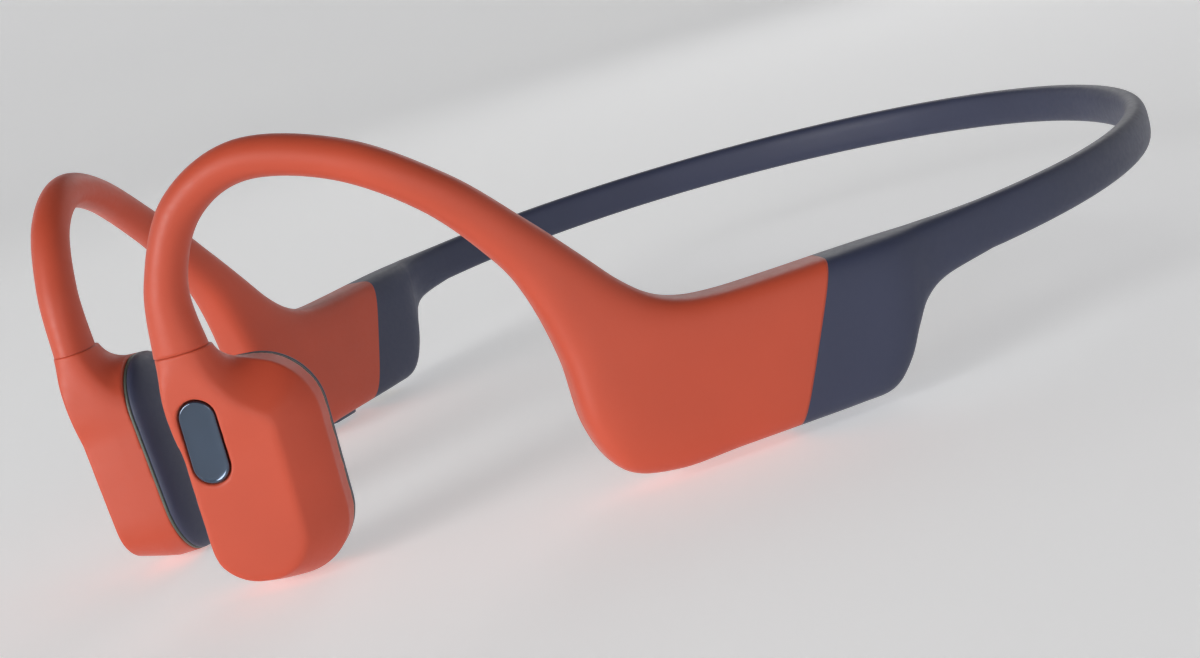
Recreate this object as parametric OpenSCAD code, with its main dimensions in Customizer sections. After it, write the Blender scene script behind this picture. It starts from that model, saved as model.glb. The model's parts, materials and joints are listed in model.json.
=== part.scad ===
// Bone conduction headphones: a sprung neckband, two ear hooks, two housings and two transducers.
// Frame: +Z up, -Y towards the wearer's face, +X the wearer's left. Millimetres.
// The arms follow one plan curve, so most places are given as (s, n, z): the distance along the
// curve from the middle of the neckband, the distance outwards from it, and the height.

/* [Neckband] */
// Plan radius of the neckband bow
bow_r = 52; // [50:0.5:56]
// Height of the neckband's top edge
band_top = 15.6; // [15.2:0.1:16]
// Height of the neckband's section
band_h = 4.7; // [4:0.1:5.2]
// Thickness of the neckband
band_t = 2.7; // [2.4:0.1:3.2]

/* [Arms] */
// Toe-in of the housings from straight ahead
toe = 23; // [20:1:26]
// Toe-in of the transducers from straight ahead
leg_toe = 45; // [42:1:48]
// Length of the straight run under the housings
run = 37.1; // [36:0.1:40]
// Plan radius of the bend over the ear
bend_r = 25.75; // [22:0.25:30]
// Thickness of each housing
housing_t = 7.5; // [7.2:0.1:8]
// Thickness of the ear hook over the ear
hook_t = 4; // [3.8:0.1:4.4]

/* [Transducer] */
// Front to rear length at the pad
drv_l = 13.4; // [13.2:0.1:13.8]
// Height of the transducer
drv_h = 22.3; // [22:0.1:22.6]
// Depth from the outer facet to the pad's edge
drv_d = 6.45; // [6.4:0.05:7]
// How far the skin pad stands proud of its edge
pad_h = 2.3; // [1.8:0.1:3]
// Forward lean of the transducer's lower end
drv_lean = 3.7; // [3:0.1:4.2]
// Inward lean of the transducer's lower end
drv_tilt = 3.2; // [2.6:0.1:3.6]

/* [Buttons] */
// Length of the multifunction button
key_l = 8.3; // [8:0.1:8.5]
// Width of the multifunction button
key_w = 3.6; // [3.4:0.1:3.7]
// Travel of the multifunction button
key_travel = 0.5; // [0.3:0.05:0.5]
// Length of each volume button
vol_l = 5.4; // [5:0.1:5.5]
// Width of each volume button
vol_w = 2.2; // [1.8:0.1:2.4]
// Travel of each volume button
vol_travel = 0.4; // [0.2:0.05:0.4]

/* [Hidden] */

coral = [0.80, 0.30, 0.22];
navy = [0.20, 0.22, 0.31];
gasket_grey = [0.36, 0.39, 0.36];
black = [0.09, 0.09, 0.10];
steel = [0.72, 0.73, 0.75];
gold = [0.83, 0.66, 0.30];
board_green = [0.10, 0.30, 0.18];
glossy_blue = [0.17, 0.22, 0.30];

bow_y = 13.3;
s_bow = bow_r * (90 + toe) * PI / 180;
s_run = s_bow + run;
s_leg = s_run + bend_r * (leg_toe - toe) * PI / 180;
s_drv = 170;
s_house = 120;
s_band = 90;
cap_h = 5.1;
bore_min = 0.66;
ring_n = 20;
drv_x = 4.2;
drv_z = 8;
face_y = -2.2;
rim_y = face_y + drv_d;
key_x = 0.65;
key_z = 16.15;
s_foot = 24.8;
floor_z = 0.8;
wire_r = 0.5;
band_squareness = 2.8;

// ---- Plan curve ----
// Clockwise turn, in degrees, at the distance s along the curve
function turn(s) = s < s_bow ? s / bow_r * 180 / PI
    : s < s_run ? 90 + toe
    : s < s_leg ? 90 + toe + (s - s_run) / bend_r * 180 / PI
    : 90 + leg_toe;
function ahead(a) = [cos(a), -sin(a)];
function outward(a) = [sin(a), cos(a)];
run_start = [0, bow_y] + bow_r * outward(90 + toe);
bend_mid = run_start + run * ahead(90 + toe) - bend_r * outward(90 + toe);
leg_start = bend_mid + bend_r * outward(90 + leg_toe);
function plan(s) = s < s_bow ? [0, bow_y] + bow_r * outward(turn(s))
    : s < s_run ? run_start + (s - s_bow) * ahead(90 + toe)
    : s < s_leg ? bend_mid + bend_r * outward(turn(s))
    : leg_start + (s - s_leg) * ahead(90 + leg_toe);
function at(s, n, z) = let (p = plan(s) + n * outward(turn(s))) [p[0], p[1], z];

// ---- Lofted tubes ----
// A key section is [s top, z top, s bottom, z bottom, half thickness, squareness, wall].
// Sections between the keys follow a Catmull-Rom curve through them.
arm_keys = [
    [108.2, 15.7, 115.1, 0.8, housing_t / 2, 4.5, 0.95],
    [113.4, 15.7, 121.2, 0.8, housing_t / 2, 4.5, 0.95],
    [118.5, 15.8, 127.8, 0.8, housing_t / 2, 4.5, 0.95],
    [122.3, 16.3, 132.7, 2.4, 3.7, 4.2, 1.0],
    [125.2, 17.5, 134.9, 7.2, 3.55, 3.6, 1.1],
    [127.9, 19.8, 135.3, 14.2, 3.2, 3.0, 1.2],
    [130.8, 23.3, 136.7, 20.8, 2.8, 2.6, 1.3],
    [134.6, 27.8, 138.9, 25.4, 2.4, 2.3, 1.4],
    [140.6, 34.2, 143.8, 31.6, 2.1, 2.1, 1.4],
    [148.6, 39.8, 150.5, 36.4, hook_t / 2, 2, 1.4],
    [158.6, 42.4, 158.4, 38.5, hook_t / 2, 2, 1.4],
    [166.6, 39.1, 164.0, 36.2, hook_t / 2, 2, 1.4],
    [171.0, 31.8, 167.1, 30.6, 2.1, 2, 1.4],
    [172.5, 24.8, 167.0, 24.8, 2.3, 2, 1.4]];
cap_keys = [
    arm_keys[0],
    [104.2, 15.7, 108.6, 0.8, 3.7, 4.3, 0.95],
    [101.6, 15.7, 104.9, 1.0, 3.55, 4.0, 0.95],
    [99.9, 15.7, 102.6, 2.8, 3.2, 3.6, 1.0],
    [98.5, 15.7, 100.9, 5.5, 2.7, 3.2, 1.1],
    [96.8, 15.7, 99.0, 8.1, 2.2, 3.0, 1.1],
    [94.3, 15.65, 96.0, 9.7, 1.75, 2.9, 1.0],
    [s_band, band_top, s_band, band_top - cap_h, band_t / 2, 2.8, 0.8]];

function mix(a, b, c, d, t) = 0.5 * (2 * b + (c - a) * t + (2 * a - 5 * b + 4 * c - d) * t * t
    + (3 * b - a - 3 * c + d) * t * t * t);
function key(keys, i) = keys[min(max(i, 0), len(keys) - 1)];
function loft(keys, steps) = [for (i = [0:len(keys) - 2], j = [0:steps - 1])
    mix(key(keys, i - 1), key(keys, i), key(keys, i + 1), key(keys, i + 2), j / steps),
    keys[len(keys) - 1]];
function power(x, e) = sign(x) * pow(abs(x), e);
// One ring of points: a superellipse between the top and bottom points of section k
function ring(k, v, t, p) = [for (i = [0:ring_n - 1]) let (a = (i + 0.5) * 360 / ring_n,
    up = 0.5 + 0.5 * v * power(sin(a), 2 / p), off = t * power(cos(a), 2 / p))
    at(k[2] + (k[0] - k[2]) * up, off, k[3] + (k[1] - k[3]) * up)];
function depth(k) = norm([k[0] - k[2], k[1] - k[3]]) / 2;
function outer_ring(k) = ring(k, 1, k[4], k[5]);
function inner_ring(k) = ring(k, max(bore_min, depth(k) - k[6]) / depth(k), max(bore_min, k[4] - k[6]), k[5]);
function quads(a, b, flip) = [for (i = [0:ring_n - 1]) let (j = (i + 1) % ring_n)
    each flip ? [[a + i, a + j, b + j], [a + i, b + j, b + i]]
        : [[a + i, b + j, a + j], [a + i, b + i, b + j]]];
// A tube with its own bore, open at both ends
module tube(sections, flip = false) {
    n = len(sections);
    points = concat([for (k = sections) each outer_ring(k)], [for (k = sections) each inner_ring(k)]);
    faces = concat(
        [for (i = [0:n - 2]) each quads(i * ring_n, (i + 1) * ring_n, flip)],
        [for (i = [0:n - 2]) each quads((n + i) * ring_n, (n + i + 1) * ring_n, !flip)],
        quads(0, n * ring_n, !flip),
        quads((n - 1) * ring_n, (2 * n - 1) * ring_n, flip));
    polyhedron(points, faces, convexity = 6);
}
// A round rod through a list of points, each with its own flat ring
module rod(path, r, sides = 8) {
    n = len(path);
    points = [for (i = [0:n - 1]) let (d = path[min(i + 1, n - 1)] - path[max(i - 1, 0)],
        w = d / norm(d), u0 = cross(w, abs(w[2]) > 0.8 ? [1, 0, 0] : [0, 0, 1]),
        u = u0 / norm(u0), v = cross(w, u)) each
        [for (j = [0:sides - 1]) path[i] + r * (cos(360 * j / sides) * u + sin(360 * j / sides) * v)]];
    faces = concat([[for (j = [0:sides - 1]) j]], [[for (j = [sides - 1:-1:0]) (n - 1) * sides + j]],
        [for (i = [0:n - 2], j = [0:sides - 1]) let (k = (j + 1) % sides)
            [i * sides + k, i * sides + j, (i + 1) * sides + j, (i + 1) * sides + k]]);
    polyhedron(points, faces, convexity = 6);
}

// ---- Local frames: x rearwards, y towards the head, z up ----
module at_house() { translate(at(s_house, 0, 0)) rotate([0, 0, 90 - toe]) children(); }
module at_leg() { translate(at(s_drv, 0, 0)) rotate([0, 0, 90 - leg_toe]) children(); }
// The transducer's frame leans about the foot of the ear hook: x rearwards, y to the head, z up
module at_drv() {
    at_leg() translate([0.25, 0, s_foot]) rotate([drv_tilt, drv_lean, 0]) translate([-0.25, 0, -s_foot])
        children();
}
module at_driver() { at_drv() translate([drv_x, 0, drv_z]) rotate([-90, 0, 0]) children(); }
// The multifunction button's frame: z inwards, square to the facet, and y downwards
module at_key() { at_drv() translate([key_x, face_y, key_z]) rotate([-90, 0, 0]) children(); }
module right_side() { mirror([1, 0, 0]) children(); }
// A flat slab with round ends: length l along x, width w along y
module stadium(l, w, h) {
    translate([-(l - w) / 2, -w / 2, 0]) cube([l - w, w, h]);
    for (x = [-1, 1]) translate([x * (l - w) / 2, 0, 0]) cylinder(d = w, h = h, $fn = 32);
}
module upright(l, w, h) { rotate([0, 0, 90]) stadium(l, w, h); }
module ferrule(l) {
    difference() {
        cylinder(r = 0.9, h = l, center = true, $fn = 32);
        cylinder(r = wire_r + 0.05, h = l + 1, center = true, $fn = 32);
    }
}

// ---- Arm ----
module arm_cover() { color(coral) tube(loft(arm_keys, 3)); }
module rear_cap() { color(navy) tube(loft(cap_keys, 2), true); }
s_ferrule = 129.4;
hook_start = [at(s_ferrule, 0, 9.2), at(s_ferrule, 0, 12.4), at(130.3, 0, 14.4)];
hook_middle = [for (k = loft([for (i = [5:13]) arm_keys[i]], 3))
    at((k[0] + k[2]) / 2, 0, (k[1] + k[3]) / 2)];
module hook_wire() {
    color(steel) rod(concat(hook_start, hook_middle, [at(s_drv - 0.3, 0, 21.6)]), wire_r);
}
module hook_ferrule() { color(steel) translate(at(s_ferrule, 0, 10.8)) ferrule(2.8); }
s_anchor = 98.5;
module band_ferrule() {
    color(steel) translate(at(s_anchor, 0, wire_z)) rotate([0, 90, -turn(s_anchor)]) ferrule(2.6);
}
tray_x = -5.2;
tray_l = 19.6;
tray_top = 13.4;
tray_wall = 0.4;
module housing_tray(bottom) {
    color(black) at_house() translate([tray_x, -2.35, bottom]) difference() {
        cube([tray_l, 4.5, tray_top - bottom]);
        translate(tray_wall * [1, 1, 1]) cube([tray_l, 5, tray_top - bottom] - 2 * tray_wall * [1, 0, 1]);
    }
}

// ---- Transducer shell ----
drv_x0 = -2.2;
rim_n = 36;
rim_p = 3.2;
wall = 1.1;
// Outline at the pad's edge, pulled in by the distance g: [x, z] points
function rim_points(g) = [for (i = [0:rim_n - 1]) let (a = (i + 0.5) * 360 / rim_n)
    [drv_x0 + drv_l / 2 + (drv_l / 2 - g) * power(cos(a), 2 / rim_p),
    drv_h / 2 + (drv_h / 2 - g) * power(sin(a), 2 / rim_p)]];
// Outline of the outer facet, whose top edge falls towards the rear
facet_w = 9.5;
facet_h = 19.8;
facet_mid = [2.85, 11.4];
facet_drop = 2.2;
function facet_points(g) = [for (i = [0:rim_n - 1]) let (a = (i + 0.5) * 360 / rim_n,
    u = power(cos(a), 2 / rim_p), v = power(sin(a), 2 / rim_p))
    [facet_mid[0] + (facet_w / 2 - g) * u,
    facet_mid[1] + (facet_h / 2 - g) * v - facet_drop * max(0, u + 0.55) * pow(max(v, 0), 2)]];
function flat_ring(points, y) = [for (q = points) [q[0], y, q[1]]];
// A solid lofted through rings of rim_n points
module rings(list) {
    n = len(list);
    last = (n - 1) * rim_n;
    faces = concat([for (i = [1:rim_n - 2]) [0, i + 1, i]],
        [for (i = [1:rim_n - 2]) [last, last + i, last + i + 1]],
        [for (k = [0:n - 2], i = [0:rim_n - 1]) let (j = (i + 1) % rim_n, c = k * rim_n, e = c + rim_n)
            each [[c + i, e + j, e + i], [c + i, c + j, e + j]]]);
    polyhedron([for (r = list) each r], faces, convexity = 4);
}
module rim_slab(g, y, t) {
    translate([0, y + t, 0]) rotate([90, 0, 0]) linear_extrude(t) polygon(rim_points(g));
}
module transducer_shell() {
    color(coral) difference() {
        union() {
            at_drv() rings([flat_ring(facet_points(0.4), face_y), flat_ring(facet_points(0), face_y + 0.3),
                flat_ring(rim_points(0.5), rim_y - 3.2), flat_ring(rim_points(0), rim_y - 1.2),
                flat_ring(rim_points(0), rim_y)]);
            at_leg() translate([0.3, 0, 19]) cylinder(r1 = 2, r2 = 2.2, h = s_foot - 19, $fn = 28);
        }
        at_drv() rings([flat_ring(facet_points(wall + 0.2), face_y + 0.9),
            flat_ring(rim_points(wall + 0.1), rim_y - 3.2), flat_ring(rim_points(wall), rim_y + 0.4)]);
        at_leg() translate([0.3, 0, 15]) cylinder(d = 1.4, h = 12, $fn = 24);
    }
}
key_gap = 0.15;
tab_l = key_l + 0.8;
tab_w = key_w - 1.2;
module key_pocket() {
    translate([0, 0, -2]) upright(key_l + 2 * key_gap, key_w + 2 * key_gap, 4.3);
    translate([0, 0, 1.1]) upright(tab_l + 2 * key_gap, tab_w + 2 * key_gap, 1.2);
}
module keyed_shell() {
    color(coral) difference() {
        transducer_shell();
        at_key() key_pocket();
    }
}

// ---- Pad and driver ----
gasket_t = 0.35;
module pad_gasket() {
    color(gasket_grey) at_drv() difference() {
        rim_slab(0.1, rim_y, gasket_t);
        rim_slab(wall + 0.2, rim_y - 1, 3);
    }
}
module skin_pad() {
    color(navy) at_drv() rings([flat_ring(rim_points(0.1), rim_y + gasket_t),
        flat_ring(rim_points(0.2), rim_y + 0.8), flat_ring(rim_points(0.8), rim_y + 1.5),
        flat_ring(rim_points(1.8), rim_y + 2), flat_ring(rim_points(3), rim_y + pad_h)]);
}
coil_top = 2.7;
plate_y = rim_y - 0.9;
module pad_plate() {
    color(black) {
        at_drv() rim_slab(wall + 0.3, plate_y, 0.9 + gasket_t);
        at_driver() translate([0, 0, coil_top]) cylinder(r = 4, h = 1, $fn = 48);
    }
}
module driver_ring(r1, r0, z0, z1) {
    at_driver() difference() {
        translate([0, 0, z0]) cylinder(r = r1, h = z1 - z0, $fn = 48);
        translate([0, 0, z0 - 1]) cylinder(r = r0, h = z1 - z0 + 2, $fn = 48);
    }
}
yoke_z = 0.4;
yoke_top = 2.25;
yoke_r = 3.5;
magnet_z = yoke_z + 0.45;
magnet_top = magnet_z + 0.95;
spring_t = 0.12;
module driver_frame() { color(black) driver_ring(4.9, 4.45, yoke_top + spring_t, plate_y); }
module voice_coil() { color([0.72, 0.42, 0.22]) driver_ring(3.05, 2.7, 1.15, coil_top); }
module spring_plate() { color(steel) driver_ring(4.75, 3.35, yoke_top, yoke_top + spring_t); }
module magnet() { color(steel) driver_ring(2.35, 0.5, magnet_z, magnet_top); }
module top_plate() { color(steel) driver_ring(2.4, 0.5, magnet_top, magnet_top + 0.35); }
module yoke() {
    color(steel) at_driver() difference() {
        translate([0, 0, yoke_z]) cylinder(r = yoke_r, h = yoke_top - yoke_z, $fn = 48);
        translate([0, 0, magnet_z]) cylinder(r = yoke_r - 0.3, h = 3, $fn = 48);
        translate([0, 0, -1]) cylinder(r = 0.5, h = 4, $fn = 24);
    }
}

// ---- Neckband ----
function bow_point(s, r, z) = let (w = s / bow_r * 180 / PI) [r * sin(w), bow_y + r * cos(w), z];
// Height of the sleeve, tallest where it meets the rear caps
function sleeve_h(s) = band_h + (cap_h - band_h) * pow(abs(s) / s_band, 4);
function sleeve_ring(s, pull) = let (h = sleeve_h(s) / 2, t = band_t / 2) [for (i = [0:ring_n - 1])
    let (a = (i + 0.5) * 360 / ring_n, e = 2 / band_squareness)
    bow_point(s, bow_r + (pull > 0 ? bore_min : t) * power(cos(a), e),
        band_top - h + (h - pull) * power(sin(a), e))];
band_steps = 32;
band_path = [for (i = [0:band_steps]) s_band * (1 - 2 * i / band_steps)];
module neckband_sleeve() {
    n = band_steps + 1;
    points = [for (pull = [0, 0.8], s = band_path) each sleeve_ring(s, pull)];
    faces = concat(
        [for (i = [0:n - 2]) each quads(i * ring_n, (i + 1) * ring_n, true)],
        [for (i = [0:n - 2]) each quads((n + i) * ring_n, (n + i + 1) * ring_n, false)],
        quads(0, n * ring_n, false),
        quads((n - 1) * ring_n, (2 * n - 1) * ring_n, true));
    color(navy) polyhedron(points, faces, convexity = 6);
}
band_mid = band_top - band_h / 2;
wire_z = band_mid + 0.4;
cable_z = band_mid - 0.85;
s_wire = s_anchor + 1;
wire_path = [for (i = [0:band_steps]) s_wire * (1 - 2 * i / band_steps)];
module neckband_wire() { color(steel) rod([for (s = wire_path) bow_point(s, bow_r, wire_z)], 0.45); }
module neckband_cable() { color(black) rod([for (s = wire_path) bow_point(s, bow_r, cable_z)], 0.35); }

// ---- Multifunction button ----
cap_z = 0.15;
tab_z = 1.2;
dome_x = 0.5;
dome_y = -0.8;
dome_z = 2.35;
dome_t = 0.35;
module multifunction_button() {
    color(glossy_blue) at_key() {
        translate([0, 0, cap_z]) upright(key_l, key_w, tab_z - cap_z);
        translate([0, 0, tab_z]) upright(tab_l, tab_w, 0.45);
        translate([dome_x, dome_y, tab_z])
            cylinder(r = 0.5, h = dome_z - tab_z - key_travel - 0.05, $fn = 24);
    }
}
module button_switch() {
    color(steel) at_key() translate([dome_x, dome_y, dome_z]) cylinder(r = 0.8, h = dome_t, $fn = 32);
}
module button_seal() {
    color(black) at_key() translate([dome_x, dome_y, dome_z]) difference() {
        cylinder(r = 1.25, h = dome_t, $fn = 32);
        translate([0, 0, -1]) cylinder(r = 0.9, h = 2, $fn = 32);
    }
}
module button_board() {
    color(board_green) at_key() translate([dome_x - 1.15, dome_y - 1.3, dome_z + dome_t])
        cube([2.4, 2.6, 0.4]);
}

// ---- Left housing ----
module battery_cell() {
    color([0.62, 0.64, 0.68]) at_house() translate([-4.7, -1.95, 3.3]) cube([14.6, 3.6, 9.4]);
}
module battery_board() {
    color(board_green) at_house() translate([10.4, -0.9, 3.3]) cube([2.6, 0.8, 9.4]);
}

// ---- Right housing ----
vol_mid = -2.6;
vol_pitch = vol_l + 0.8;
vol_x = [vol_mid - vol_pitch / 2, vol_mid + vol_pitch / 2];
vol_z = 0.2;
slot_l = 13.2;
slot_w = 3.2;
bezel_top = 2.25;
lip_z = 2.35;
lip_t = 0.3;
vol_dome_z = lip_z + lip_t + vol_travel + 0.05;
module volume_slot(g) { at_house() translate([vol_mid, 0, -1]) stadium(slot_l - g, slot_w - g, 4.2); }
module buttoned_cover() {
    color(coral) difference() {
        arm_cover();
        volume_slot(0);
    }
}
module volume_bezel() {
    color(black) at_house() difference() {
        translate([vol_mid, 0, floor_z]) stadium(slot_l - 0.1, slot_w - 0.1, bezel_top - floor_z);
        for (x = vol_x) translate([x, 0, 0]) stadium(vol_l + 0.3, vol_w + 0.3, 4);
    }
}
module volume_button(x) {
    color(glossy_blue) at_house() translate([x, 0, 0]) {
        translate([0, 0, vol_z]) stadium(vol_l, vol_w, lip_z - vol_z);
        translate([0, 0, lip_z]) stadium(vol_l + 0.5, vol_w + 0.7, lip_t);
    }
}
module volume_switches() {
    color(steel) at_house() for (x = vol_x) translate([x, 0, vol_dome_z])
        cylinder(r = 0.9, h = 0.38, $fn = 32);
}
module volume_board() {
    color(board_green) at_house() translate([vol_mid - 5.8, -1.2, vol_dome_z + 0.38]) cube([11.6, 2.4, 0.35]);
}
tray_low = 4.2;
board_z = tray_low + tray_wall;
module main_board() { color(board_green) at_house() translate([-4.6, -0.6, board_z]) cube([18.4, 0.8, 8.2]); }
module bluetooth_chip() { color(steel) at_house() translate([-2, 0.2, 6]) cube([6, 0.9, 5.6]); }
module antenna() { color([0.85, 0.84, 0.8]) at_house() translate([11.4, 0.2, 6.4]) cube([1.2, 0.8, 5.4]); }
module microphones() {
    for (x = [-4.4, 6.2]) color(gold) at_house() translate([x, -1.6, 5]) cube([2.6, 1, 1.8]);
}
port_x = 10.6;
port_l = 6;
port_w = 3;
port_z = 1.2;
pin_x = [port_x - 1.7, port_x + 1.7];
module ported_cap() {
    color(navy) difference() {
        rear_cap();
        at_house() translate([port_x, 0, -1]) stadium(port_l, port_w, 3.6);
    }
}
module charging_port() {
    color(black) at_house() difference() {
        translate([port_x, 0, port_z]) stadium(port_l - 0.1, port_w - 0.1, 1);
        for (x = pin_x) translate([x, 0, 0]) cylinder(r = 0.75, h = 4, $fn = 32);
    }
}
module charging_contacts() {
    color(gold) at_house() for (x = pin_x) translate([x, 0, port_z - 0.1])
        cylinder(r = 0.7, h = 1.6, $fn = 32);
}
module charging_magnet() {
    color(steel) at_house() translate([port_x - 0.8, -1.2, port_z + 1]) cube([1.6, 2.4, 1.2]);
}

arm_cover();  // left_arm_cover
rear_cap();  // left_rear_cap
hook_wire();  // left_hook_wire
hook_ferrule();  // left_hook_ferrule
band_ferrule();  // left_band_ferrule
housing_tray(2.9);  // left_housing_tray
keyed_shell();  // left_transducer_shell
pad_gasket();  // left_pad_gasket
skin_pad();  // left_skin_pad
pad_plate();  // left_pad_plate
driver_frame();  // left_driver_frame
voice_coil();  // left_voice_coil
spring_plate();  // left_spring_plate
magnet();  // left_magnet
top_plate();  // left_top_plate
yoke();  // left_yoke
right_side() buttoned_cover();  // right_arm_cover
right_side() ported_cap();  // right_rear_cap
right_side() hook_wire();  // right_hook_wire
right_side() hook_ferrule();  // right_hook_ferrule
right_side() band_ferrule();  // right_band_ferrule
right_side() housing_tray(tray_low);  // right_housing_tray
right_side() transducer_shell();  // right_transducer_shell
right_side() pad_gasket();  // right_pad_gasket
right_side() skin_pad();  // right_skin_pad
right_side() pad_plate();  // right_pad_plate
right_side() driver_frame();  // right_driver_frame
right_side() voice_coil();  // right_voice_coil
right_side() spring_plate();  // right_spring_plate
right_side() magnet();  // right_magnet
right_side() top_plate();  // right_top_plate
right_side() yoke();  // right_yoke
neckband_sleeve();
neckband_wire();
neckband_cable();
multifunction_button();
button_switch();
button_seal();
button_board();
battery_cell();
battery_board();
right_side() main_board();
right_side() bluetooth_chip();
right_side() antenna();
right_side() microphones();
right_side() volume_bezel();
right_side() volume_button(vol_x[0]);  // volume_up_button
right_side() volume_button(vol_x[1]);  // volume_down_button
right_side() volume_switches();
right_side() volume_board();
right_side() charging_port();
right_side() charging_contacts();
right_side() charging_magnet();
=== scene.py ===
import json
import math
import bmesh
import bpy
import numpy as np
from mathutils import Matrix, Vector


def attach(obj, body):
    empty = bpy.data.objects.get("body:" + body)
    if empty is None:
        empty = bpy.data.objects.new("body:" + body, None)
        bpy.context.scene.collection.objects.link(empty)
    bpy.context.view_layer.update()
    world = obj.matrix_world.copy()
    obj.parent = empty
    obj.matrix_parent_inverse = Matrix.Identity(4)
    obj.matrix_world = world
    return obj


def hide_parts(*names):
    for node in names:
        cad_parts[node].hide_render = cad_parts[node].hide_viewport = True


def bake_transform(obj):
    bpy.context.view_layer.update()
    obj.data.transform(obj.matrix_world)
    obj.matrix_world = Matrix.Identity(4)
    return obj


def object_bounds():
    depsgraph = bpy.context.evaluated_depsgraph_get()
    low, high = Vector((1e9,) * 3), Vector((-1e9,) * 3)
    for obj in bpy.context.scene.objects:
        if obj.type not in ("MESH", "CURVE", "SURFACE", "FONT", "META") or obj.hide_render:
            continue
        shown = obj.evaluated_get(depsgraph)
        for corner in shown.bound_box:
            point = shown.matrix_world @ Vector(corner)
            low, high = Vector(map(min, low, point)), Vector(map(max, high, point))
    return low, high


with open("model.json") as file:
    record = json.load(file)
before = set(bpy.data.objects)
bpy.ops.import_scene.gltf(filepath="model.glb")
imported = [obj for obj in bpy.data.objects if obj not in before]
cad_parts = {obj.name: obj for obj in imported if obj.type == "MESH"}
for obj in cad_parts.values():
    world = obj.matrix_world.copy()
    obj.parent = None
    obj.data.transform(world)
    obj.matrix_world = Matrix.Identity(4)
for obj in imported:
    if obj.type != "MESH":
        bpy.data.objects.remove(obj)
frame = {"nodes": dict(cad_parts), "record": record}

import openvdb
from mathutils import Matrix, Vector

CAD_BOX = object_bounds()
MM = 0.001

# ---- The arms' plan curve, in millimetres, as the frame's parts follow it ----
BOW_R = 52.0
BOW_Y = 13.3
TOE = 23.0
LEG_TOE = 45.0
RUN = 37.1
BEND_R = 25.75
HOUSING_T = 7.5
HOOK_T = 4.0
BAND_T = 2.7
BAND_H = 4.7
BAND_SQUARENESS = 2.8
CAP_H = 5.1
BAND_TOP = 15.6
S_BAND = 90.0
S_HOUSE = 120.0
S_DRV = 170.0
S_BOW = BOW_R * math.radians(90 + TOE)
S_RUN = S_BOW + RUN
S_LEG = S_RUN + BEND_R * math.radians(LEG_TOE - TOE)


def outward(a):
    return np.stack([np.sin(a), np.cos(a)], -1)


def ahead(a):
    return np.stack([np.cos(a), -np.sin(a)], -1)


TOE_A, LEG_A = math.radians(90 + TOE), math.radians(90 + LEG_TOE)
RUN_START = np.array([0, BOW_Y]) + BOW_R * outward(TOE_A)
BEND_MID = RUN_START + RUN * ahead(TOE_A) - BEND_R * outward(TOE_A)
LEG_START = BEND_MID + BEND_R * outward(LEG_A)


def at(s, n, z):
    """The point at the distance s along the left arm's plan curve, n outwards from it, at height z."""
    s, n, z = np.broadcast_arrays(np.asarray(s, float), np.asarray(n, float), np.asarray(z, float))
    bow, run, bend = s < S_BOW, (s >= S_BOW) & (s < S_RUN), (s >= S_RUN) & (s < S_LEG)
    turn = np.where(bend, TOE_A + (s - S_RUN) / BEND_R, LEG_A)
    turn = np.where(bow, s / BOW_R, np.where(run, TOE_A, turn))
    out, along = outward(turn), ahead(turn)
    p = LEG_START + (s - S_LEG)[..., None] * along
    p = np.where(bend[..., None], BEND_MID + BEND_R * out, p)
    p = np.where(run[..., None], RUN_START + (s - S_BOW)[..., None] * along, p)
    p = np.where(bow[..., None], np.array([0, BOW_Y]) + BOW_R * out, p)
    p = p + n[..., None] * out
    return np.concatenate([p, z[..., None]], -1)


def local_frame(s, toe):
    """x rearwards, y towards the head, z up, from the plan curve at s, on the left side."""
    return Matrix.Translation(Vector(at(s, 0, 0) * MM)) @ Matrix.Rotation(math.radians(90 - toe), 4, "Z")


HOUSE = local_frame(S_HOUSE, TOE)
LEG = local_frame(S_DRV, LEG_TOE)
MIRROR = Matrix.Scale(-1, 4, Vector((1, 0, 0)))

# ---- Mesh helpers ----
SHARP_DEGREES = 38


def mesh_object(name, points, faces):
    mesh = bpy.data.meshes.new(name)
    mesh.from_pydata([tuple(p) for p in points], [], [tuple(f) for f in faces])
    obj = bpy.data.objects.new(name, mesh)
    bpy.context.scene.collection.objects.link(obj)
    bm = bmesh.new()
    bm.from_mesh(mesh)
    bmesh.ops.recalc_face_normals(bm, faces=bm.faces)
    bm.to_mesh(mesh)
    bm.free()
    for polygon in mesh.polygons:
        polygon.use_smooth = True
    return obj


def loft_faces(rings, count, closed_ends=True):
    faces = [
        (k * count + i, k * count + (i + 1) % count, (k + 1) * count + (i + 1) % count, (k + 1) * count + i)
        for k in range(rings - 1)
        for i in range(count)
    ]
    if closed_ends:
        faces += [tuple(range(count)), tuple(range((rings - 1) * count, rings * count))]
    return faces


def loft(name, rings):
    return mesh_object(name, np.concatenate(rings), loft_faces(len(rings), len(rings[0])))


def apply_modifiers(obj):
    depsgraph = bpy.context.evaluated_depsgraph_get()
    mesh = bpy.data.meshes.new_from_object(obj.evaluated_get(depsgraph))
    obj.modifiers.clear()
    obj.data = mesh


def cut(obj, cutter):
    modifier = obj.modifiers.new("cut", "BOOLEAN")
    modifier.operation, modifier.solver, modifier.object = "DIFFERENCE", "EXACT", cutter
    bpy.context.view_layer.update()
    apply_modifiers(obj)
    bpy.data.objects.remove(cutter)
    sharpen(obj)


def sharpen(obj):
    """Marks edges that turn by more than the angle as sharp, so that the rest shade smoothly."""
    obj.data.set_sharp_from_angle(angle=math.radians(SHARP_DEGREES))


def power(x, e):
    return np.sign(x) * np.abs(x) ** e


def superellipse(count, p):
    a = (np.arange(count) + 0.5) * 2 * math.pi / count
    return power(np.cos(a), 2 / p), power(np.sin(a), 2 / p)


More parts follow.
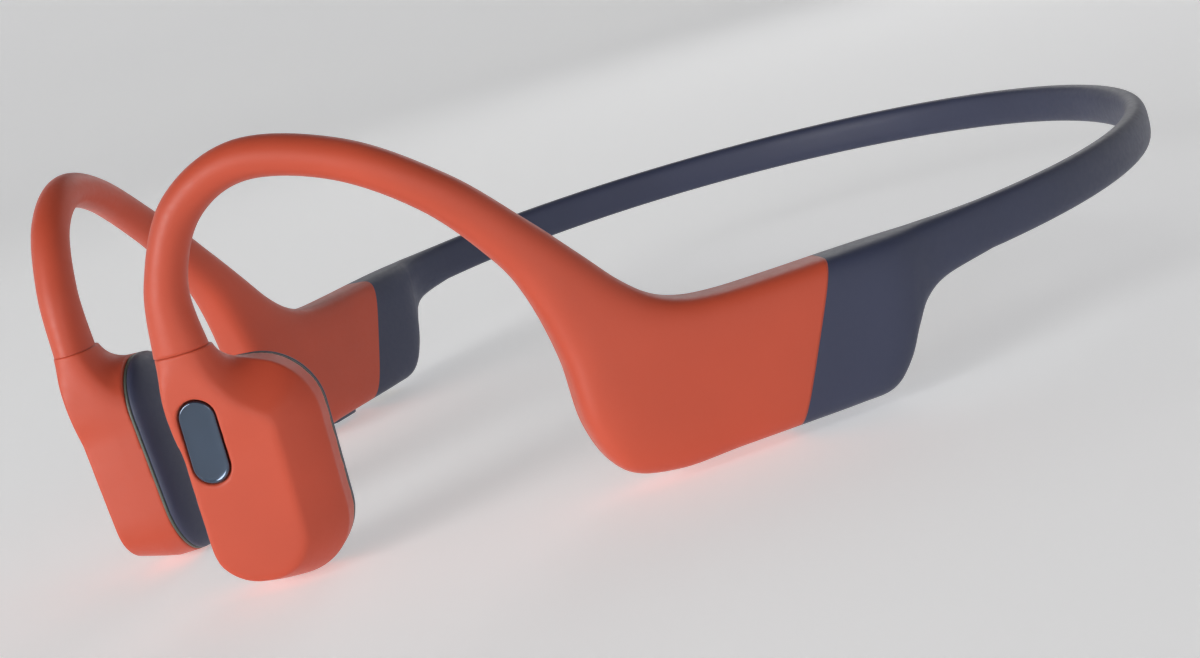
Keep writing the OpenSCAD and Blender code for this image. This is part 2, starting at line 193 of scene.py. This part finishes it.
# ---- The arm: key sections [s top, z top, s bottom, z bottom, half thickness, squareness] ----
ARM_KEYS = np.array([
    [108.2, 15.7, 115.1, 0.8, HOUSING_T / 2, 4.5],
    [113.4, 15.7, 121.2, 0.8, HOUSING_T / 2, 4.5],
    [118.5, 15.8, 127.8, 0.8, HOUSING_T / 2, 4.5],
    [122.3, 16.3, 132.7, 2.4, 3.7, 4.2],
    [125.2, 17.5, 134.9, 7.2, 3.55, 3.6],
    [127.9, 19.8, 135.3, 14.2, 3.2, 3.0],
    [130.8, 23.3, 136.7, 20.8, 2.8, 2.6],
    [134.6, 27.8, 138.9, 25.4, 2.4, 2.3],
    [140.6, 34.2, 143.8, 31.6, 2.1, 2.1],
    [148.6, 39.8, 150.5, 36.4, HOOK_T / 2, 2.0],
    [158.6, 42.4, 158.4, 38.5, HOOK_T / 2, 2.0],
    [166.6, 39.1, 164.0, 36.2, HOOK_T / 2, 2.0],
    [171.0, 31.8, 167.1, 30.6, 2.1, 2.0],
    [172.5, 24.8, 167.0, 24.8, 2.1, 2.0],
])
CAP_KEYS = np.array([
    ARM_KEYS[0],
    [104.2, 15.7, 108.6, 0.8, 3.7, 4.3],
    [101.6, 15.7, 104.9, 1.0, 3.55, 4.0],
    [99.9, 15.7, 102.6, 2.8, 3.2, 3.6],
    [98.5, 15.7, 100.9, 5.5, 2.7, 3.2],
    [96.8, 15.7, 99.0, 8.1, 2.2, 3.0],
    [94.3, 15.65, 96.0, 9.7, 1.75, 2.9],
    [S_BAND, BAND_TOP, S_BAND, BAND_TOP - CAP_H, BAND_T / 2, BAND_SQUARENESS],
])
RING = 72
ARM_STEPS = 12
CAP_STEPS = 10
EDGE_R = 0.16
EDGE_STEPS = 4


def sections(keys, steps):
    """Catmull-Rom sections through the key sections."""
    padded = np.concatenate([keys[:1], keys, keys[-1:]])
    rows = []
    for i in range(len(keys) - 1):
        a, b, c, d = padded[i : i + 4]
        for t in np.arange(steps) / steps:
            square = (2 * a - 5 * b + 4 * c - d) * t**2
            cube = (3 * b - a - 3 * c + d) * t**3
            rows.append(0.5 * (2 * b + (c - a) * t + square + cube))
    return np.array(rows + [keys[-1]])


def section_ring(k, inset=0.0):
    half = math.hypot(k[0] - k[2], k[1] - k[3]) / 2
    u, v = superellipse(RING, k[5])
    up = 0.5 + 0.5 * v * (half - inset) / half
    return at(k[2] + (k[0] - k[2]) * up, (k[4] - inset) * u, k[3] + (k[1] - k[3]) * up) * MM


def edge_rings(k_end):
    """Rings that pull an end's outline inwards, from its full size to the edge radius."""
    angles = np.linspace(0, math.pi / 2, EDGE_STEPS)[1:]
    return [section_ring(k_end, EDGE_R * (1 - math.cos(a))) for a in angles]


def arm_cover(side):
    keys = sections(ARM_KEYS, ARM_STEPS)
    rings = [section_ring(k) for k in keys]
    return loft(f"{side}_arm_skin", edge_rings(keys[0])[::-1] + rings + edge_rings(keys[-1]))


# ---- The transducer shell: a distance field, meshed on a fine grid ----
DRV_X0, DRV_L, DRV_H = -2.2, 13.4, 22.3
FACE_Y, RIM_Y, RIM_R = -2.2, 4.25, 6.2
DRV_LEAN, DRV_TILT = 3.7, 3.2
FOOT_Z = 24.8
FOOT = Vector((0.25, 0, FOOT_Z))
KEY_X, KEY_Z, KEY_L, KEY_W = 0.65, 16.15, 8.3, 3.6
KEY_GAP = 0.3
RECESS_DEPTH = 1.2
FACET_X, FACET_Z, FACET_HALF_W, FACET_HALF_H, FACET_R = 2.85, 12.5, 4.75, 11.0, 4.3
CROWN_X, CROWN_Z, CROWN_R = 0.75, 18.6, 2.75
SLOPE_X, SLOPE_Z, SLOPE_NX, SLOPE_NZ = 2.06, 20.4, 0.52, 0.854
FAR_INSIDE = -9.0
BEVEL_DEPTH, BEVEL_START, BEVEL_FALL = 4.2, 1.35, 0.35
FACE_ROUND = 0.45
NECK_X, NECK_HALF_X, NECK_HALF_Y, NECK_SCALE = 0.25, 2.75, 2.12, 2.4
NECK_BOTTOM, NECK_BLEND = 18.5, 4.2
FRONT_X, FRONT_SLOPE, FRONT_ROUND = 2.52, 0.03, 0.7
FACE_SLOPE, FACE_SLOPE_Z, FACE_SLOPE_RUN = 0.02, 19, 6
SEAM_Z = 24.78
GRID_LOW, GRID_HIGH, GRID_STEP = (-4.6, -3.6, -0.8), (12.4, 7.4, 25.4), 0.17
LEAN = (Matrix.Translation(FOOT) @ Matrix.Rotation(math.radians(DRV_LEAN), 4, "Y")
        @ Matrix.Rotation(math.radians(DRV_TILT), 4, "X") @ Matrix.Translation(-FOOT))
DRV = LEG @ Matrix.Scale(MM, 4) @ LEAN @ Matrix.Scale(1 / MM, 4)


def rounded_box(x, z, cx, cz, hx, hz, r):
    dx, dz = np.abs(x - cx) - hx + r, np.abs(z - cz) - hz + r
    return np.hypot(np.maximum(dx, 0), np.maximum(dz, 0)) + np.minimum(np.maximum(dx, dz), 0) - r


def soft_min(a, b, k):
    h = np.maximum(k - np.abs(a - b), 0) / k
    return np.minimum(a, b) - h * h * k / 4


def soft_max(a, b, k):
    return -soft_min(-a, -b, k)


def rim_distance(x, z):
    return rounded_box(x, z, DRV_X0 + DRV_L / 2, DRV_H / 2, DRV_L / 2, DRV_H / 2, RIM_R)


def facet_distance(x, z):
    """Outline of the flat outer facet: round below, round about the button, falling to the rear."""
    tall = rounded_box(x, z, FACET_X, FACET_Z, FACET_HALF_W, FACET_HALF_H, FACET_R)
    around_key = np.hypot(x - CROWN_X, np.maximum(z - CROWN_Z, 0)) - CROWN_R
    sloping = SLOPE_NX * (x - SLOPE_X) + SLOPE_NZ * (z - SLOPE_Z)
    square = rounded_box(x, z, FACET_X, FACET_Z - 1, FACET_HALF_W, FACET_HALF_H - 1, 0.5)
    corner = soft_max(square, sloping, 1.2)
    crown = np.where(x < CROWN_X, around_key, FAR_INSIDE)
    return np.where(z > FACET_Z, soft_max(corner, crown, 0.3), tall)


def stadium_distance(x, z, length, width):
    half = (length - width) / 2
    return np.hypot(x - KEY_X, np.maximum(np.abs(z - KEY_Z) - half, 0)) - width / 2


def shell_distance(x, y, z):
    """The shell and its button recess, in the transducer's own leaning frame, in millimetres."""
    f = np.clip((y - FACE_Y) / BEVEL_DEPTH, 0, 1)
    f = f * (BEVEL_START - BEVEL_FALL * f)
    outline = (1 - f) * facet_distance(x, z) + f * rim_distance(x, z)
    body = soft_max(0.8 * outline, FACE_Y - y, FACE_ROUND)
    neck = (np.hypot((x - NECK_X) / NECK_HALF_X, y / NECK_HALF_Y) - 1) * NECK_SCALE
    neck = soft_max(neck, NECK_BOTTOM - z, 2)
    solid = soft_min(body, neck, NECK_BLEND)
    front = -FRONT_X - x - FRONT_SLOPE * (z - FOOT_Z)
    solid = soft_max(solid, front, FRONT_ROUND)
    face = FACE_Y + FACE_SLOPE * np.clip(z - FACE_SLOPE_Z, 0, FACE_SLOPE_RUN) - y
    solid = soft_max(solid, face, FACE_ROUND)
    solid = np.maximum(solid, y - RIM_Y)
    opening = stadium_distance(x, z, KEY_L + KEY_GAP, KEY_W + KEY_GAP)
    recess = np.maximum(opening, y - FACE_Y - RECESS_DEPTH)
    return solid, recess


def grid_mesh(name, distance, low, high, step):
    axes = [np.arange(a, b, step) for a, b in zip(low, high)]
    field = distance(*np.meshgrid(*axes, indexing="ij")).astype(np.float32)
    grid = openvdb.FloatGrid(background=5.0)
    grid.copyFromArray(field)
    points, quads = grid.convertToQuads(isovalue=0.0)
    return mesh_object(name, np.asarray(points) * step + np.array(low), quads[:, ::-1])


def transducer_shell(side):
    lean = np.array(LEAN.inverted())

    def field(x, y, z):
        q = [row[0] * x + row[1] * y + row[2] * z + row[3] for row in lean[:3]]
        solid, recess = shell_distance(*q)
        solid = np.maximum(solid, z - SEAM_Z)
        return soft_max(solid, -recess, 0.2) if side == "left" else solid

    obj = grid_mesh(f"{side}_transducer_skin", field, GRID_LOW, GRID_HIGH, GRID_STEP)
    smooth = obj.modifiers.new("smooth", "SMOOTH")
    smooth.factor, smooth.iterations = 0.5, 2
    bpy.context.view_layer.update()
    apply_modifiers(obj)
    obj.data.transform(Matrix.Scale(MM, 4))
    obj.data.transform(LEG if side == "left" else MIRROR @ LEG)
    if side == "right":
        obj.data.flip_normals()
    return obj


RIM_COUNT = 96


def rim_ring(inset, y):
    """The outline at the pad's edge, pulled in by inset, at the depth y."""
    r, hx, hz = RIM_R - inset, DRV_L / 2 - inset, DRV_H / 2 - inset
    turns = [(1, 1, 0), (-1, 1, 1), (-1, -1, 2), (1, -1, 3)]
    ring = []
    for sx, sz, quarter in turns:
        for a in np.linspace(0, math.pi / 2, RIM_COUNT // 4):
            b = a + quarter * math.pi / 2
            x = DRV_X0 + DRV_L / 2 + sx * (hx - r) + r * math.cos(b)
            z = DRV_H / 2 + sz * (hz - r) + r * math.sin(b)
            ring.append([x, y, z])
    return np.array(ring) * MM


def placed(obj, side):
    obj.data.transform(DRV)
    if side == "right":
        obj.data.transform(MIRROR)
        obj.data.flip_normals()
    return obj


GASKET_T = 0.35
PAD_H = 2.3
PAD_SIDE_INSET, PAD_SIDE_H = 0.06, 0.2
PAD_DOME_INSET, PAD_DOME_STEPS = 4.6, 16


def skin_pad(side):
    """A crowned silicone pad: full sides, then a broad dome."""
    base = RIM_Y + GASKET_T
    foot = ((1.0, 0.0), (0.3, 0.0), (0.12, 0.06), (PAD_SIDE_INSET, PAD_SIDE_H))
    rings = [rim_ring(inset, base + rise) for inset, rise in foot]
    top = RIM_Y + PAD_H
    for a in np.linspace(0.1, 1, PAD_DOME_STEPS):
        angle = a * math.pi / 2
        inset = PAD_SIDE_INSET + PAD_DOME_INSET * (1 - math.cos(angle))
        rings.append(rim_ring(inset, base + PAD_SIDE_H + (top - base - PAD_SIDE_H) * math.sin(angle)))
    rings.append(rim_ring(5.4, top + 0.005))
    return placed(loft(f"{side}_pad_skin", rings), side)


def pad_gasket(side):
    """A thin layer with rounded edges. Each step is (inset, height above the shell's rim)."""
    profile = ((1.1, 0.02), (0.12, 0.02), (0.04, 0.09), (0.04, 0.27), (0.12, 0.34), (1.1, 0.34))
    rings = [rim_ring(inset, RIM_Y + rise) for inset, rise in profile]
    return placed(loft(f"{side}_gasket_ring", rings), side)


# ---- Buttons ----
STADIUM_COUNT = 64
KEY_EDGE = 0.2
KEY_CAP_H, KEY_DISH, KEY_BACK = 1.15, 0.09, 1.2


def stadium_ring(length, width, z):
    half, r = (length - width) / 2, width / 2
    angles = np.linspace(-math.pi / 2, math.pi / 2, STADIUM_COUNT // 2)
    ring = [[half + r * math.cos(a), r * math.sin(a), z] for a in angles]
    ring += [[-half - r * math.cos(a), -r * math.sin(a), z] for a in angles]
    return np.array(ring) * MM


def key_cap(name, length, width, height, dish):
    """A button standing on z = 0: straight sides, a rounded rim and a slightly dished face."""
    rings = [stadium_ring(length, width, 0)]
    for a in np.linspace(0, math.pi / 2, 7):
        d = 2 * KEY_EDGE * (1 - math.cos(a))
        rings.append(stadium_ring(length - d, width - d, height - KEY_EDGE + KEY_EDGE * math.sin(a)))
    inner = width - 2 * KEY_EDGE
    for t in (0.05, 0.1, 0.16, 0.24, 0.34, 0.46, 0.6, 0.75, 0.9, 0.97):
        d = 2 * KEY_EDGE + inner * t
        rings.append(stadium_ring(length - d, width - d, height - dish * min(1, 4 * t) ** 0.6))
    return loft(name, rings)


KEY_FRAME = (DRV @ Matrix.Translation(Vector((KEY_X, FACE_Y, KEY_Z)) * MM)
             @ Matrix.Rotation(-math.pi / 2, 4, "X"))
FLIP = Matrix.Rotation(math.pi, 4, "X")


def multifunction_cap():
    obj = key_cap("multifunction_cap", KEY_L, KEY_W, KEY_CAP_H, KEY_DISH)
    stand = Matrix.Translation(Vector((0, 0, KEY_BACK)) * MM)
    obj.data.transform(KEY_FRAME @ stand @ FLIP @ Matrix.Rotation(math.pi / 2, 4, "Z"))
    return obj


VOL_L, VOL_W, VOL_MID = 5.4, 2.2, -2.6
VOL_CAP_H, VOL_DISH, VOL_BACK = 2.15, 0.06, 2.35
VOL_X = (VOL_MID - (VOL_L + 0.8) / 2, VOL_MID + (VOL_L + 0.8) / 2)
SLOT_L, SLOT_W, SLOT_DEPTH = 13.2, 3.2, 1.8
PORT_X, PORT_L, PORT_W, PORT_DEPTH = 10.6, 6.0, 3.0, 1.3


def volume_cap(name, x):
    obj = key_cap(name, VOL_L, VOL_W, VOL_CAP_H, VOL_DISH)
    obj.data.transform(MIRROR @ HOUSE @ Matrix.Translation(Vector((x, 0, VOL_BACK)) * MM) @ FLIP)
    obj.data.flip_normals()
    return obj


def slot_cutter(x, length, width, top):
    cutter = loft("cutter", [stadium_ring(length, width, z) for z in (-1.0, top)])
    cutter.data.transform(MIRROR @ HOUSE @ Matrix.Translation(Vector((x, 0, 0)) * MM))
    cutter.data.flip_normals()
    return cutter


# ---- Neckband: one navy skin from seam to seam ----
BAND_RINGS = 121


def bow_ring(s):
    h = (BAND_H + (CAP_H - BAND_H) * (abs(s) / S_BAND) ** 4) / 2
    u, v = superellipse(RING, BAND_SQUARENESS)
    w = s / BOW_R
    r = BOW_R + BAND_T / 2 * u
    return np.stack([r * math.sin(w), BOW_Y + r * math.cos(w), BAND_TOP - h + h * v], -1) * MM


def neckband_skin():
    keys = sections(CAP_KEYS, CAP_STEPS)
    half = edge_rings(keys[0])[::-1] + [section_ring(k) for k in keys]
    middle = [bow_ring(s) for s in np.linspace(S_BAND, -S_BAND, BAND_RINGS)[1:-1]]
    other = [ring * np.array([-1, 1, 1]) for ring in half[::-1]]
    return loft("neckband_skin", half + middle + other)


WIRE_Z, WIRE_R = 13.65, 0.44
CABLE_Z, CABLE_R, CABLE_TWIST = 12.4, 0.35, 1.4
S_WIRE = 99.5
WIRE_RINGS, WIRE_SIDES = 161, 16
ROUND_DIP, TWIST_DIP = 0.02, 0.12


def bow_wire(name, radius, z, twist=0.0):
    """A drawn wire or a lightly twisted cable along the middle of the neckband."""
    dip = TWIST_DIP if twist else ROUND_DIP
    rings = []
    for s in np.linspace(S_WIRE, -S_WIRE, WIRE_RINGS):
        w = s / BOW_R
        a = np.arange(WIRE_SIDES) * 2 * math.pi / WIRE_SIDES + twist * s
        rr = radius * (1 - dip * np.cos(2 * (a - twist * s)) ** 2)
        r = BOW_R + rr * np.cos(a)
        rings.append(np.stack([r * math.sin(w), BOW_Y + r * math.cos(w), z + rr * np.sin(a)], -1) * MM)
    return loft(name, rings)


# ---- Materials ----
NOISE_LOW, NOISE_HIGH = 0.3, 0.7


class Nodes:
    """A short way to write a material's nodes."""

    def __init__(self, name):
        self.material = bpy.data.materials.new(name)
        self.material.use_nodes = True
        self.tree = self.material.node_tree
        self.shader = self.tree.nodes["Principled BSDF"]
        self.coords = self.tree.nodes.new("ShaderNodeTexCoord").outputs["Object"]

    def set(self, **values):
        for name, value in values.items():
            self.shader.inputs[name.replace("_", " ")].default_value = value
        return self

    def link(self, source, target):
        self.tree.links.new(source, target)
        return self

    def noise(self, scale, detail=3.0, roughness=0.55):
        node = self.tree.nodes.new("ShaderNodeTexNoise")
        node.inputs["Scale"].default_value = scale
        node.inputs["Detail"].default_value = detail
        node.inputs["Roughness"].default_value = roughness
        self.link(self.coords, node.inputs["Vector"])
        return node.outputs["Fac"]

    def remap(self, source, low, high):
        node = self.tree.nodes.new("ShaderNodeMapRange")
        names = ("From Min", "From Max", "To Min", "To Max")
        for socket, value in zip(names, (NOISE_LOW, NOISE_HIGH, low, high)):
            node.inputs[socket].default_value = value
        self.link(source, node.inputs["Value"])
        return node.outputs["Result"]

    def ramp(self, source, dark, light):
        node = self.tree.nodes.new("ShaderNodeValToRGB")
        stops = zip(node.color_ramp.elements, (NOISE_LOW, NOISE_HIGH), (dark, light))
        for element, place, colour in stops:
            element.position, element.color = place, (*colour, 1)
        self.link(source, node.inputs["Fac"])
        return node.outputs["Color"]

    def bump(self, layers):
        """Stacks bump layers, each (height output, distance in metres, strength)."""
        normal = None
        for height, distance, strength in layers:
            node = self.tree.nodes.new("ShaderNodeBump")
            node.inputs["Distance"].default_value = distance
            node.inputs["Strength"].default_value = strength
            self.link(height, node.inputs["Height"])
            if normal:
                self.link(normal, node.inputs["Normal"])
            normal = node.outputs["Normal"]
        return self.link(normal, self.shader.inputs["Normal"])


def scaled(colour, factor):
    return tuple(min(1.0, c * factor) for c in colour)


def silicone(name, colour, rough, grain=0.35):
    """Soft-touch moulded silicone: a fine sprayed texture, faint mottling and a dusty sheen."""
    m = Nodes(name)
    broad, fine, grit = m.noise(60, 2), m.noise(1500, 3, 0.6), m.noise(5200, 2, 0.5)
    m.link(m.ramp(broad, scaled(colour, 0.93), scaled(colour, 1.06)), m.shader.inputs["Base Color"])
    m.link(m.remap(fine, rough - 0.05, rough + 0.07), m.shader.inputs["Roughness"])
    m.bump([(broad, 0.00004, 0.25), (fine, 0.000012, grain), (grit, 0.000006, grain)])
    m.set(Sheen_Weight=0.12, Sheen_Roughness=0.4, Subsurface_Weight=0.04, Specular_IOR_Level=0.42)
    m.shader.inputs["Subsurface Radius"].default_value = (0.0012, 0.0005, 0.0003)
    m.shader.inputs["Subsurface Scale"].default_value = 0.5
    return m.material


def moulded(name, colour, rough, metallic=0.0, coat=0.0, grain=0.25):
    """Moulded or plated hard material: a fine grain and slight colour drift."""
    m = Nodes(name)
    broad, fine = m.noise(180, 3), m.noise(3200, 3, 0.6)
    m.link(m.ramp(broad, scaled(colour, 0.88), scaled(colour, 1.1)), m.shader.inputs["Base Color"])
    m.link(m.remap(fine, max(0.02, rough - 0.05), rough + 0.06), m.shader.inputs["Roughness"])
    m.bump([(fine, 0.000008, grain)])
    m.set(Metallic=metallic, Coat_Weight=coat, Coat_Roughness=0.04)
    return m.material


def brushed(name, colour, rough, along=(400, 400, 6000)):
    """Drawn or turned metal, with streaks from a stretched noise."""
    m = Nodes(name)
    mapping = m.tree.nodes.new("ShaderNodeMapping")
    mapping.inputs["Scale"].default_value = along
    m.link(m.coords, mapping.inputs["Vector"])
    streaks = m.tree.nodes.new("ShaderNodeTexNoise")
    streaks.inputs["Scale"].default_value = 1.0
    streaks.inputs["Detail"].default_value = 4
    m.link(mapping.outputs["Vector"], streaks.inputs["Vector"])
    fac = streaks.outputs["Fac"]
    m.link(m.ramp(fac, scaled(colour, 0.85), scaled(colour, 1.1)), m.shader.inputs["Base Color"])
    m.link(m.remap(fac, rough - 0.06, rough + 0.1), m.shader.inputs["Roughness"])
    m.bump([(fac, 0.00001, 0.3)])
    m.set(Metallic=1.0)
    return m.material


def circuit_board(name):
    """Green solder mask, with a faint brick pattern for the tracks."""
    m = Nodes(name)
    tracks = m.tree.nodes.new("ShaderNodeTexBrick")
    tracks.inputs["Scale"].default_value = 900
    tracks.inputs["Mortar Size"].default_value = 0.06
    tracks.inputs["Color1"].default_value = (0.02, 0.12, 0.06, 1)
    tracks.inputs["Color2"].default_value = (0.025, 0.15, 0.07, 1)
    tracks.inputs["Mortar"].default_value = (0.06, 0.24, 0.10, 1)
    m.link(m.coords, tracks.inputs["Vector"])
    m.link(tracks.outputs["Color"], m.shader.inputs["Base Color"])
    m.link(m.remap(m.noise(900), 0.28, 0.4), m.shader.inputs["Roughness"])
    m.bump([(tracks.outputs["Fac"], 0.00003, 0.4)])
    m.set(Coat_Weight=0.4, Coat_Roughness=0.2)
    return m.material


CORAL = (0.59, 0.085, 0.040)
NAVY = (0.046, 0.053, 0.098)
MATERIALS = {
    "coral_silicone": silicone("coral_silicone", CORAL, 0.46),
    "navy_silicone": silicone("navy_silicone", NAVY, 0.5),
    "gasket_grey": moulded("gasket_grey", (0.10, 0.12, 0.10), 0.4),
    "glossy_blue": moulded("glossy_blue", (0.05, 0.08, 0.13), 0.14, metallic=0.7, coat=1.0, grain=0.05),
    "black_plastic": moulded("black_plastic", (0.012, 0.012, 0.014), 0.42),
    "black_rubber": silicone("black_rubber", (0.014, 0.014, 0.015), 0.55),
    "titanium_wire": brushed("titanium_wire", (0.45, 0.44, 0.42), 0.32),
    "spring_steel": brushed("spring_steel", (0.58, 0.59, 0.60), 0.26),
    "nickel_iron": moulded("nickel_iron", (0.60, 0.60, 0.58), 0.16, metallic=1.0),
    "copper_coil": brushed("copper_coil", (0.62, 0.24, 0.09), 0.3, along=(300, 300, 9000)),
    "gold_contact": moulded("gold_contact", (0.83, 0.56, 0.18), 0.14, metallic=1.0),
    "circuit_board": circuit_board("circuit_board"),
    "battery_foil": brushed("battery_foil", (0.55, 0.57, 0.60), 0.34, along=(3000, 300, 300)),
    "ceramic": moulded("ceramic", (0.72, 0.70, 0.64), 0.22, coat=0.5),
}

# ---- Camera, floor and lights ----
CAMERA_AT = (0.17826, -0.13193, 0.05006)
CAMERA_AZIMUTH, CAMERA_ELEVATION, CAMERA_ROLL = 55.05, 11.23, -16.4
CAMERA_LENS = 56.1
MIDDLE = (0, 0, 0.02)
LIGHTS = {
    "key": ((0.05, -0.80, 0.17), 0.42, 3.6),
    "side": ((0.70, -0.42, 0.10), 0.40, 0.65),
    "rim": ((-0.30, 0.40, 0.30), 0.30, 0.25),
}
WORLD_COLOUR, WORLD_STRENGTH = (0.95, 0.96, 1.0, 1), 0.05
FLOOR_GLOW = 0.34
FLOOR_GAP = 0.0002


def camera():
    data = bpy.data.cameras.new("camera")
    data.lens, data.sensor_width, data.clip_start = CAMERA_LENS, 36, 0.005
    obj = bpy.data.objects.new("camera", data)
    bpy.context.scene.collection.objects.link(obj)
    obj.matrix_world = (Matrix.Translation(CAMERA_AT)
                        @ Matrix.Rotation(math.radians(CAMERA_AZIMUTH), 4, "Z")
                        @ Matrix.Rotation(math.radians(90 - CAMERA_ELEVATION), 4, "X")
                        @ Matrix.Rotation(math.radians(CAMERA_ROLL), 4, "Z"))
    bpy.context.scene.camera = obj


def area_light(name, place, size, power_watts):
    data = bpy.data.lights.new(name, "AREA")
    data.shape, data.size, data.energy = "DISK", size, power_watts
    obj = bpy.data.objects.new(name, data)
    bpy.context.scene.collection.objects.link(obj)
    obj.location = place
    obj.rotation_euler = (Vector(MIDDLE) - Vector(place)).to_track_quat("-Z", "Y").to_euler()


FLOOR_PROFILE = [(0.9, 0.0), (1.15, 0.02), (1.4, 0.09), (1.6, 0.22), (1.75, 0.42), (1.85, 0.7), (1.9, 1.1)]
FLOOR_SIDES = 96


def backdrop():
    """A round pale floor that curves up into a wall on every side."""
    ring = np.arange(FLOOR_SIDES) * 2 * math.pi / FLOOR_SIDES
    verts = [(r * math.cos(a), r * math.sin(a), z) for r, z in FLOOR_PROFILE for a in ring]
    faces = [tuple(range(FLOOR_SIDES))] + loft_faces(len(FLOOR_PROFILE), FLOOR_SIDES, False)
    return mesh_object("floor", verts, faces)


def studio():
    world = bpy.data.worlds.new("studio")
    bpy.context.scene.world = world
    bpy.context.scene.view_settings.view_transform = "Standard"
    world.use_nodes = True
    world.node_tree.nodes["Background"].inputs["Color"].default_value = WORLD_COLOUR
    world.node_tree.nodes["Background"].inputs["Strength"].default_value = WORLD_STRENGTH
    floor = backdrop()
    floor.location.z = CAD_BOX[0][2] - FLOOR_GAP
    pale = Nodes("floor_paper")
    shade = pale.ramp(pale.noise(3), (0.86, 0.86, 0.87), (0.9, 0.9, 0.9))
    pale.link(shade, pale.shader.inputs["Base Color"])
    pale.set(Roughness=0.85, Specular_IOR_Level=0.1)
    pale.set(Emission_Color=(1, 1, 1, 1), Emission_Strength=FLOOR_GLOW)
    floor.data.materials.append(pale.material)
    for name, (place, size, power_watts) in LIGHTS.items():
        area_light(name, place, size, power_watts)


def show(obj, slot, *nodes, body=None):
    """Gives a piece its finish, the CAD nodes it stands for, and the body that it rides on."""
    obj.data.materials.clear()
    obj.data.materials.append(MATERIALS[slot])
    if body:
        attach(obj, body)
    if nodes:
        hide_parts(*nodes)


def build():
    camera()
    studio()
    for part in frame["record"]["subparts"]:
        node = frame["nodes"][part["node"]]
        for slot in node.material_slots:
            slot.material = MATERIALS[part["material_slot"]]
    covers = {side: arm_cover(side) for side in ("left", "right")}
    covers["right"].data.transform(MIRROR)
    covers["right"].data.flip_normals()
    cut(covers["right"], slot_cutter(VOL_MID, SLOT_L, SLOT_W, SLOT_DEPTH))
    for side in ("left", "right"):
        body = f"{side}_side"
        show(covers[side], "coral_silicone", f"{side}_arm_cover", body=body)
        show(transducer_shell(side), "coral_silicone", f"{side}_transducer_shell", body=body)
        show(pad_gasket(side), "gasket_grey", f"{side}_pad_gasket", body=body)
        pad = skin_pad(side)
        show(pad, "navy_silicone", f"{side}_skin_pad", body=body)
    band = neckband_skin()
    cut(band, slot_cutter(PORT_X, PORT_L, PORT_W, PORT_DEPTH))
    show(band, "navy_silicone", "left_rear_cap", "neckband_sleeve", "right_rear_cap")
    wire = bow_wire("neckband_wire_skin", WIRE_R, WIRE_Z)
    show(wire, "titanium_wire", "neckband_wire")
    cable = bow_wire("neckband_cable_skin", CABLE_R, CABLE_Z, twist=CABLE_TWIST)
    show(cable, "black_rubber", "neckband_cable")
    for piece in (band, wire, cable):
        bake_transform(piece)
    show(multifunction_cap(), "glossy_blue", "multifunction_button", body="multifunction_button")
    for name, x in (("volume_up", VOL_X[0]), ("volume_down", VOL_X[1])):
        show(volume_cap(f"{name}_cap", x), "glossy_blue", f"{name}_button", body=f"{name}_button")


build()
